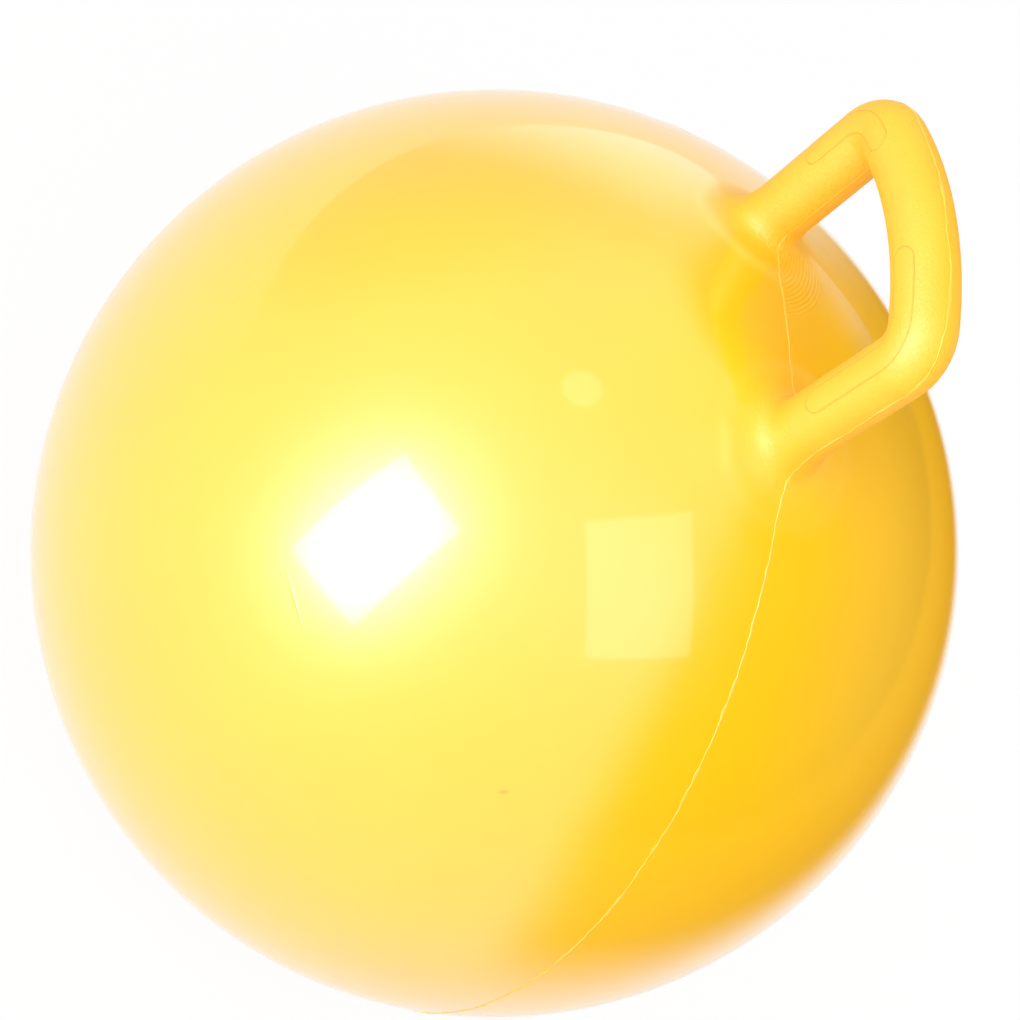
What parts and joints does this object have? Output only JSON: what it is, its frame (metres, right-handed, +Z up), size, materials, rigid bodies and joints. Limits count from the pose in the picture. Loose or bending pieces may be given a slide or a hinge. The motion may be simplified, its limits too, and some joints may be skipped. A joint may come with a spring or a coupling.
{
  "type": "hopper ball",
  "caption": "Blown-up vinyl bouncing ball that a child sits astride, with a closed loop handle on flared roots, a raised parting line and a push-in air stopper",
  "frame": {"origin": "middle of the flat patch that the ball rests on, straight under the handle", "axes": "+Z up through the handle, +X along the grip, +Y towards the valve; the loop and the parting line lie in XZ"},
  "size_m": [0.4512, 0.4496, 0.5517],
  "materials": {
    "gloss_vinyl": "gloss",
    "matt_vinyl": "matte",
    "line_vinyl": "satin",
    "stopper": "satin"
  },
  "bodies": {
    "ball": {"ball_skin": "gloss_vinyl", "ball_seam": "line_vinyl", "root_left": "gloss_vinyl", "root_right": "gloss_vinyl", "valve_seat": "gloss_vinyl"},
    "handle": {"handle_loop": "matt_vinyl", "handle_seam": "line_vinyl"},
    "plug": {"valve_plug": "stopper"}
  },
  "joints": [
    {"name": "handle_lean", "type": "hinge", "parent": "ball", "child": "handle", "pos_m": [0, 0, 0.4493], "axis": [1, 0, 0], "range_deg": [-12, 12], "stiffness_Nm_per_rad": 8, "deforming": ["root_left", "root_right"]},
    {"name": "plug_pull", "type": "slide", "parent": "ball", "child": "plug", "axis": [0, 1, 0], "range_m": [0, 0.03]}
  ]
}
